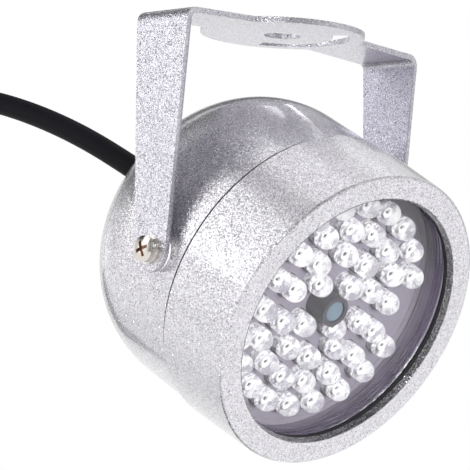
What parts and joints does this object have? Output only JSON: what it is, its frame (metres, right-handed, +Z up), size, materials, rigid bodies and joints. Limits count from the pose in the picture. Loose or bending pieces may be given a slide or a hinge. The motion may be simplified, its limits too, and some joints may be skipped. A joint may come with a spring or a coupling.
{
  "type": "infrared illuminator",
  "caption": "Round infrared lamp with rings of clear light-emitting diodes behind glass, tilting in a U-shaped sheet bracket, with a power cord.",
  "frame": {"origin": "centre of the mounting hole at the bracket plate's top face", "axes": "+Z up out of the plate, -Y the side that the lamp faces, X along the tilt axis"},
  "size_m": [0.0768, 0.2077, 0.1355],
  "materials": {
    "bracket_paint": "silver sparkle paint under clear gloss",
    "housing_paint": "silver sparkle paint under clear gloss",
    "window_glass": "clear, polished",
    "seal_rubber": "matt black",
    "plate_dark": "smooth dark grey",
    "board_laminate": "green solder mask",
    "led_epoxy": "clear moulded epoxy",
    "sensor_face": "pale teal, glossy",
    "sleeve_plastic": "dark grey shrink sleeve",
    "spacer_brass": "turned",
    "screw_steel": "bright nickel plate",
    "washer_nylon": "white nylon",
    "resistor_body": "beige lacquer",
    "transistor_body": "moulded black",
    "capacitor_can": "dark printed can, plain",
    "grommet_rubber": "matt black",
    "tie_nylon": "black nylon",
    "core_red": "red insulation",
    "core_black": "black insulation",
    "cord_jacket": "black PVC jacket",
    "socket_body": "moulded black",
    "contact_metal": "nickel-plated"
  },
  "bodies": {
    "bracket": {"mounting_bracket": "bracket_paint"},
    "lamp_head": {"front_barrel": "housing_paint", "rear_dome": "housing_paint", "front_glass": "window_glass", "glass_seal": "seal_rubber", "housing_seal": "seal_rubber", "led_plate": "plate_dark", "led_board": "board_laminate", "leds_inner": "led_epoxy", "leds_second": "led_epoxy", "leds_third": "led_epoxy", "leds_outer": "led_epoxy", "light_sensor": "sensor_face", "sensor_sleeve": "sleeve_plastic", "board_spacers": "spacer_brass", "board_screws": "screw_steel", "ballast_resistors": "resistor_body", "switch_transistor": "transistor_body", "smoothing_capacitor": "capacitor_can", "pivot_screw_left": "screw_steel", "pivot_screw_right": "screw_steel", "pivot_washer_left": "screw_steel", "pivot_washer_right": "screw_steel", "friction_washer_left": "washer_nylon", "friction_washer_right": "washer_nylon", "cord_grommet": "grommet_rubber", "cord_lock_tie": "tie_nylon", "supply_core_positive": "core_red", "supply_core_negative": "core_black", "power_cord": "cord_jacket", "cord_coil": "cord_jacket", "coil_tie": "tie_nylon", "cord_tail": "cord_jacket", "dc_socket": "socket_body", "socket_pin": "contact_metal"}
  },
  "joints": [
    {"name": "head_tilt", "type": "hinge", "parent": "bracket", "child": "lamp_head", "pos_m": [0, 0, -0.051], "axis": [1, 0, 0], "range_deg": [-117.5, 32.5]}
  ]
}
